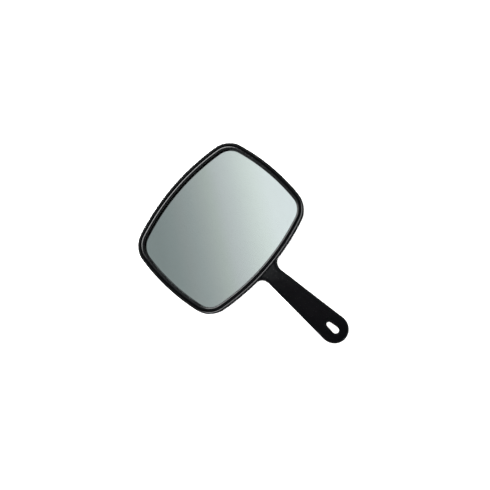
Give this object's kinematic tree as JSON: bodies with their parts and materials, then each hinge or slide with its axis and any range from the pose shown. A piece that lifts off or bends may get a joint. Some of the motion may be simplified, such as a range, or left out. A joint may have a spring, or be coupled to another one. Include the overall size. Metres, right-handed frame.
{
  "type": "hand mirror",
  "caption": "Salon hand mirror: wide bowed-rectangle glass in a raised black plastic rim, with a flat flared handle and a teardrop hanging hole.",
  "frame": {"origin": "on the back face, under the middle of the whole object's box, with the mirror lying on its back", "axes": "+Z out of the glass, +Y from the handle towards the far end of the head, +X across the head"},
  "size_m": [0.16, 0.229, 0.01],
  "materials": {
    "black_moulding": "glossy black moulded styrene plastic",
    "float_glass": "polished clear float glass with a slight green tint",
    "silver": "chemically deposited silver behind glass",
    "mirror_paint": "matt grey mirror backing paint",
    "film": "woven-look polythene safety film",
    "foam": "white closed-cell foam tape"
  },
  "bodies": {
    "root": {"back_shell": "black_moulding", "front_bezel": "black_moulding", "handle_cover": "black_moulding", "mirror_glass": "float_glass", "silver_coat": "silver", "backing_paint": "mirror_paint", "safety_film": "film", "foam_pads": "foam"}
  },
  "joints": []
}
